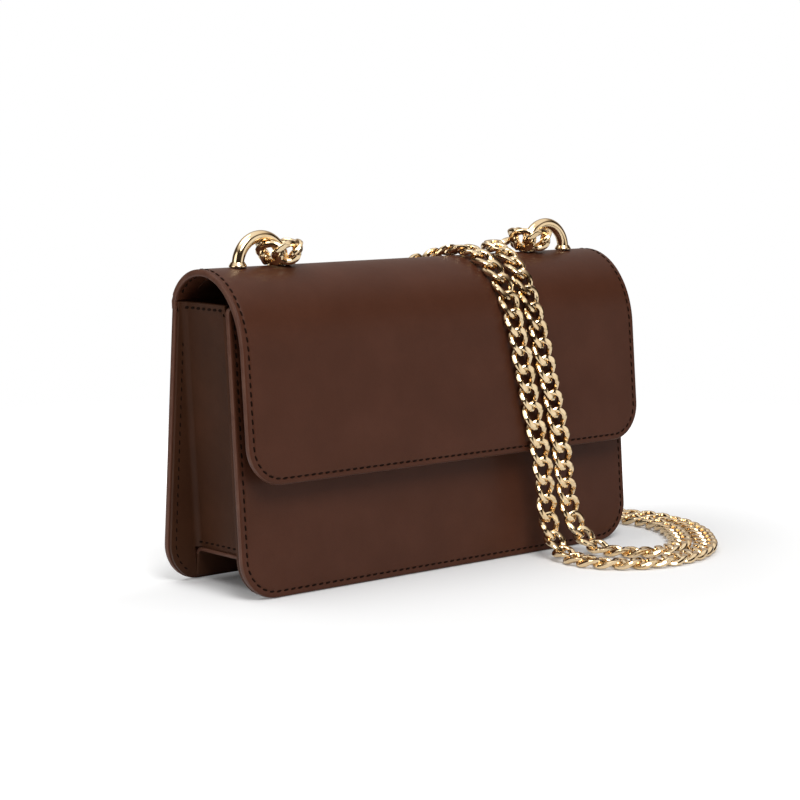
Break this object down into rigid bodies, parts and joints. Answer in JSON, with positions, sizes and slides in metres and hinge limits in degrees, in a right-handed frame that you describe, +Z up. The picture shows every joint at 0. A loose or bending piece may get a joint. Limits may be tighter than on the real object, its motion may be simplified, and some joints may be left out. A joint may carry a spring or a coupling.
{
  "type": "flap shoulder bag",
  "caption": "Small structured leather flap bag with arched gold-tone mounts and a curb chain strap folded double.",
  "frame": {"origin": "on the floor under the middle of the bag's own bounding box, without the chain strap", "axes": "+X along the bag's width to its right seen from the front, +Y from front to back, +Z up"},
  "size_m": [0.2631, 0.1669, 0.1467],
  "materials": {
    "smooth_calf_leather": "smooth, softly polished dark brown",
    "gusset_calf_leather": "smooth, thinner, dark brown",
    "woven_lining": "matt fine weave",
    "fibre_board": "matt pressed fibre",
    "polished_gold_plate": "polished gold plate",
    "nickel_plated_steel": "satin nickel plate"
  },
  "bodies": {
    "bag": {"front_panel": "smooth_calf_leather", "back_panel": "smooth_calf_leather", "gusset_left": "gusset_calf_leather", "gusset_right": "gusset_calf_leather", "base_panel": "gusset_calf_leather", "base_board": "fibre_board", "front_lining": "woven_lining", "back_lining": "woven_lining", "gusset_lining_left": "woven_lining", "gusset_lining_right": "woven_lining", "slip_pocket": "woven_lining", "snap_socket": "nickel_plated_steel", "chain_left_fall": "polished_gold_plate", "chain_right_fall": "polished_gold_plate", "chain_fold": "polished_gold_plate"},
    "flap": {"flap": "smooth_calf_leather", "flap_lining": "woven_lining", "snap_cap": "nickel_plated_steel", "arch_left": "polished_gold_plate", "collar_left_inner": "polished_gold_plate", "washer_left_inner": "nickel_plated_steel", "screw_left_inner": "nickel_plated_steel", "collar_left_outer": "polished_gold_plate", "washer_left_outer": "nickel_plated_steel", "screw_left_outer": "nickel_plated_steel", "chain_left_ring": "polished_gold_plate", "chain_left_run": "polished_gold_plate", "chain_left_drape": "polished_gold_plate", "arch_right": "polished_gold_plate", "collar_right_inner": "polished_gold_plate", "washer_right_inner": "nickel_plated_steel", "screw_right_inner": "nickel_plated_steel", "collar_right_outer": "polished_gold_plate", "washer_right_outer": "nickel_plated_steel", "screw_right_outer": "nickel_plated_steel", "chain_right_ring": "polished_gold_plate", "chain_right_run": "polished_gold_plate", "chain_right_drape": "polished_gold_plate"}
  },
  "joints": [
    {"name": "flap_hinge", "type": "hinge", "parent": "bag", "child": "flap", "pos_m": [0, 0.02211, 0.1183], "axis": [-1, 0, 0], "range_deg": [0, 125]}
  ]
}
